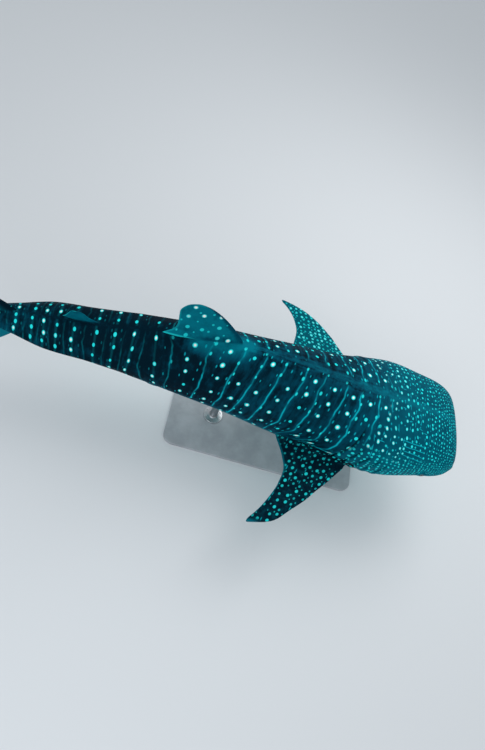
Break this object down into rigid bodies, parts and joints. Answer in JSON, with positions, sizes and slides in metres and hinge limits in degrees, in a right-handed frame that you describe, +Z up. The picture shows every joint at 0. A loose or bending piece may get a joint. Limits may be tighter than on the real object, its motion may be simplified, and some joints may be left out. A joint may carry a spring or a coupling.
{
  "type": "whale shark model on a display stand",
  "caption": "Life-size still model of a swimming whale shark with a flat broad head, spotted and barred back, and long tail fin, held over a flat base by rods.",
  "frame": {"origin": "centre of the stand base's underside, on the floor", "axes": "+X towards the snout, +Y towards the animal's left side, +Z up"},
  "size_m": [5.9931, 2.8572, 2.148],
  "materials": {
    "skin": "satin, dark teal with pale spots and bars",
    "belly_skin": "satin, pale",
    "fin_skin": "satin, teal with pale spots",
    "eye": "polished",
    "stand_plate": "matt paint",
    "stand_steel": "brushed"
  },
  "bodies": {
    "root": {"head": "skin", "lower_jaw": "belly_skin", "gill_region": "skin", "trunk_front": "skin", "trunk_rear": "skin", "tail_front": "skin", "tail_stalk": "skin", "dorsal_fin_first": "fin_skin", "dorsal_fin_second": "fin_skin", "pectoral_fin_left": "fin_skin", "pectoral_fin_right": "fin_skin", "pelvic_fin_left": "fin_skin", "pelvic_fin_right": "fin_skin", "anal_fin": "fin_skin", "caudal_fin_upper": "fin_skin", "caudal_fin_lower": "fin_skin", "eye_left": "eye", "eye_right": "eye", "stand_base": "stand_plate", "stand_rod_front": "stand_steel", "stand_rod_rear": "stand_steel"}
  },
  "joints": []
}
